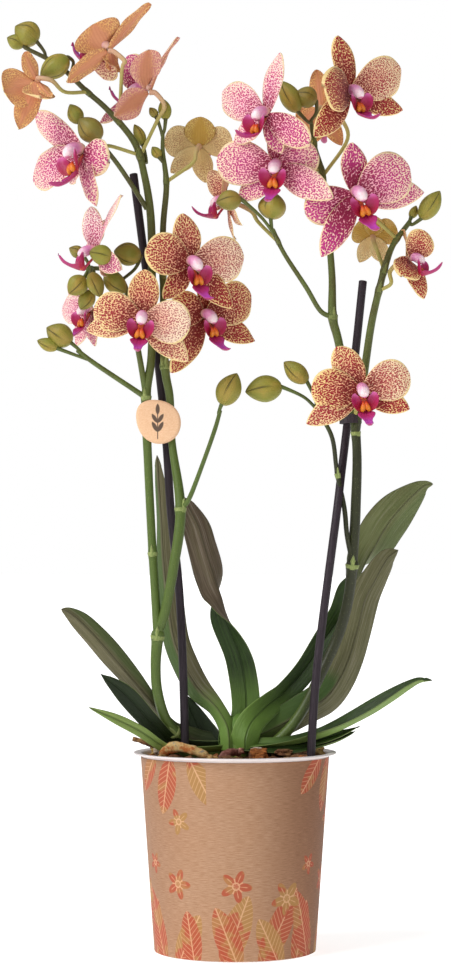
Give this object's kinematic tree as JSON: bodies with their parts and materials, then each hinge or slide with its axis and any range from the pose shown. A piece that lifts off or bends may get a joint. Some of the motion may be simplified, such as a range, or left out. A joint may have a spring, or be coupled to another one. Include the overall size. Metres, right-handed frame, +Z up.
{
  "type": "potted moth orchid",
  "caption": "Moth orchid in a tapered nursery pot: flower spikes tied to support sticks, with spotted flowers, buds, strap leaves, bark and a card tag.",
  "frame": {"origin": "centre of the pot's flat underside", "axes": "+Z up, +X to the right as seen from the front, +Y to the back"},
  "size_m": [0.1981, 0.09, 0.42],
  "materials": {
    "pot_white": "smooth white plastic",
    "label_kraft": "printed kraft-look label, matt, fine fibres",
    "stick_dark": "dark plum satin",
    "crown_green": "waxy light green",
    "stem_green": "living stem, satin, green low down and olive brown above",
    "leaf_green": "waxy dark green above, grey purple-brown underneath",
    "tag_card": "plain peach card",
    "bark_brown": "rough bark",
    "root_tan": "dry papery root",
    "petal_warm": "soft petal, crimson spots on cream yellow",
    "petal_pink": "soft petal, magenta spots on pale pink",
    "petal_olive": "soft petal, olive yellow"
  },
  "bodies": {
    "root": {"pot": "pot_white", "pot_label": "label_kraft", "stick_left": "stick_dark", "stick_right": "stick_dark", "crown": "crown_green", "spike_left_base": "stem_green", "spike_left_outer": "stem_green", "spike_left_inner": "stem_green", "spike_left_thin_branch": "stem_green", "spike_left_bud_branch": "stem_green", "spike_left_low_branch": "stem_green", "spike_left_top_branch": "stem_green", "spike_right_base": "stem_green", "spike_right_main": "stem_green", "spike_right_outer": "stem_green", "spike_right_thin_branch": "stem_green", "spike_right_bud_branch": "stem_green", "stem_clip": "stick_dark", "leaf_left_long": "leaf_green", "leaf_left_middle": "leaf_green", "leaf_left_low": "leaf_green", "leaf_left_short": "leaf_green", "leaf_back": "leaf_green", "leaf_centre": "leaf_green", "leaf_right_back": "leaf_green", "leaf_right_front": "leaf_green", "leaf_right_strap": "leaf_green", "leaf_right_dark_upper": "leaf_green", "leaf_right_dark_lower": "leaf_green", "card_tag": "tag_card", "bark_stick": "bark_brown", "root_arched": "root_tan", "root_short": "root_tan", "bark_chip_pale": "bark_brown", "bark_chip_orange": "bark_brown", "bark_chip_right": "bark_brown", "growing_bark": "bark_brown", "flower_left_tip": "petal_warm", "flower_left_top": "petal_warm", "flower_left_side": "petal_pink", "flower_left_pink": "petal_pink", "flower_left_olive": "petal_olive", "flower_left_profile": "petal_pink", "flower_left_behind": "petal_pink", "flower_left_front": "petal_warm", "flower_middle_upper": "petal_warm", "flower_middle_lower": "petal_warm", "flower_middle_profile": "petal_warm", "flower_right_pink_upper": "petal_pink", "flower_right_pink_lower": "petal_pink", "flower_right_top": "petal_warm", "flower_right_hidden": "petal_warm", "flower_right_large": "petal_pink", "flower_right_profile": "petal_warm", "flower_right_olive": "petal_olive", "flower_right_front": "petal_warm"}
  },
  "joints": []
}
